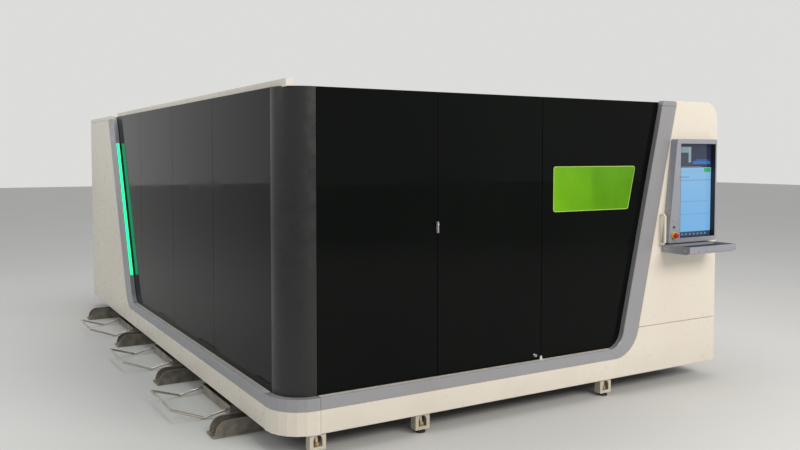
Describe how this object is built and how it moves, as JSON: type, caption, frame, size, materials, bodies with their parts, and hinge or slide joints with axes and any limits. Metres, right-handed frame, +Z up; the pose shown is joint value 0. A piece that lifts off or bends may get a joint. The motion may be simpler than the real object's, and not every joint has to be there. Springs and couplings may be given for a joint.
{
  "type": "fiber laser cutting machine",
  "caption": "Enclosed fibre laser cutter with dark glazed front and side, operator tower with screen, sliding scrap drawers and a gantry with cutting head inside.",
  "frame": {"origin": "middle of the machine's footprint box, on the floor", "axes": "+Z up, +X to the right along the short front face, +Y back along the long glazed side, so the operator stands at -Y"},
  "size_m": [3.881, 5.855, 2.105],
  "materials": {
    "cream_enamel": "semi-gloss enamel",
    "grey_enamel": "semi-gloss enamel",
    "black_glass": "opaque dark laser-safe glazing, mirror smooth",
    "black_satin": "satin",
    "black_steel": "satin",
    "green_laser_glass": "tinted, smooth",
    "led_diffuser": "lit diffuser",
    "silver_enamel": "satin",
    "screen_glass": "lit screen",
    "red_plastic": "gloss",
    "yellow_plastic": "satin",
    "black_plastic": "satin",
    "bed_paint": "matt",
    "mill_steel": "mill finish",
    "ground_steel": "ground",
    "copper": "turned",
    "aluminium": "machined"
  },
  "bodies": {
    "enclosure": {"skirt_corner": "cream_enamel", "skirt_front": "cream_enamel", "left_side_panel": "cream_enamel", "sill_corner": "grey_enamel", "front_sill_trim": "grey_enamel", "left_sill_trim": "grey_enamel", "corner_column": "black_satin", "roof": "cream_enamel", "right_panel": "cream_enamel", "rear_panel": "cream_enamel", "fume_outlet": "mill_steel", "front_fixed_pane": "black_glass", "laser_window": "green_laser_glass", "left_pane_1": "black_glass", "left_pane_2": "black_glass", "left_pane_3": "black_glass", "left_pane_4": "black_glass", "led_strip": "led_diffuser", "enclosure_frame": "black_steel", "bed_frame": "bed_paint", "front_foot_left": "cream_enamel", "front_foot_middle": "cream_enamel", "front_foot_right": "cream_enamel", "right_foot_front": "cream_enamel", "right_foot_rear": "cream_enamel", "rear_foot_left": "cream_enamel", "slat_table": "mill_steel", "y_rail_left": "ground_steel", "y_rail_right": "ground_steel", "electrical_plate": "silver_enamel", "laser_source": "silver_enamel"},
    "front_door_left": {"front_door_left_pane": "black_glass", "front_door_left_frame": "black_steel", "front_door_pull": "silver_enamel"},
    "front_door_right": {"front_door_right_pane": "black_glass", "front_door_right_frame": "black_steel"},
    "tower_front": {"tower_door": "cream_enamel", "console_housing": "silver_enamel", "display_screen": "screen_glass", "estop_collar": "yellow_plastic", "keyboard_tray": "silver_enamel", "tower_door_pull": "cream_enamel"},
    "estop": {"estop_button": "red_plastic"},
    "button": {"console_button": "black_plastic"},
    "right_door": {"right_service_door": "cream_enamel"},
    "rear_door": {"rear_service_door": "cream_enamel"},
    "drawer_1": {"scrap_drawer_1": "mill_steel", "scrap_drawer_1_handle": "ground_steel"},
    "drawer_2": {"scrap_drawer_2": "mill_steel", "scrap_drawer_2_handle": "ground_steel"},
    "drawer_3": {"scrap_drawer_3": "mill_steel", "scrap_drawer_3_handle": "ground_steel"},
    "gantry": {"gantry_beam": "aluminium", "y_motor_left": "black_steel", "y_motor_right": "black_steel"},
    "carriage": {"x_carriage": "aluminium"},
    "head": {"z_slide": "black_steel", "cutting_head": "aluminium", "nozzle": "copper"}
  },
  "joints": [
    {"name": "front_door_left_hinge", "type": "hinge", "parent": "enclosure", "child": "front_door_left", "pos_m": [-1.35645, -2.6272, 0], "axis": [0, 0, -1], "range_deg": [0, 105]},
    {"name": "front_door_right_hinge", "type": "hinge", "parent": "enclosure", "child": "front_door_right", "pos_m": [0.26855, -2.6272, 0], "axis": [0, 0, 1], "range_deg": [0, 105]},
    {"name": "tower_door_hinge", "type": "hinge", "parent": "enclosure", "child": "tower_front", "pos_m": [1.94055, -2.6725, 0], "axis": [0, 0, 1], "range_deg": [0, 100]},
    {"name": "estop_press", "type": "slide", "parent": "tower_front", "child": "estop", "axis": [0, 1, 0], "range_m": [0, 0.005], "stiffness_N_per_m": 600},
    {"name": "button_press", "type": "slide", "parent": "tower_front", "child": "button", "axis": [0, 1, 0], "range_m": [0, 0.003], "stiffness_N_per_m": 300},
    {"name": "right_service_door_hinge", "type": "hinge", "parent": "enclosure", "child": "right_door", "pos_m": [1.94055, 0.6275, 0], "axis": [0, 0, -1], "range_deg": [0, 110]},
    {"name": "rear_service_door_hinge", "type": "hinge", "parent": "enclosure", "child": "rear_door", "pos_m": [-1.04945, 2.8275, 0], "axis": [0, 0, 1], "range_deg": [0, 110]},
    {"name": "drawer_1_slide", "type": "slide", "parent": "enclosure", "child": "drawer_1", "axis": [-1, 0, 0], "range_m": [0, 1.2]},
    {"name": "drawer_2_slide", "type": "slide", "parent": "enclosure", "child": "drawer_2", "axis": [-1, 0, 0], "range_m": [0, 1.2]},
    {"name": "drawer_3_slide", "type": "slide", "parent": "enclosure", "child": "drawer_3", "axis": [-1, 0, 0], "range_m": [0, 1.2]},
    {"name": "gantry_travel", "type": "slide", "parent": "enclosure", "child": "gantry", "axis": [0, -1, 0], "range_m": [0, 3.25]},
    {"name": "carriage_travel", "type": "slide", "parent": "gantry", "child": "carriage", "axis": [1, 0, 0], "range_m": [-0.2, 1.2]},
    {"name": "head_travel", "type": "slide", "parent": "carriage", "child": "head", "axis": [0, 0, 1], "range_m": [-0.115, 0]}
  ]
}
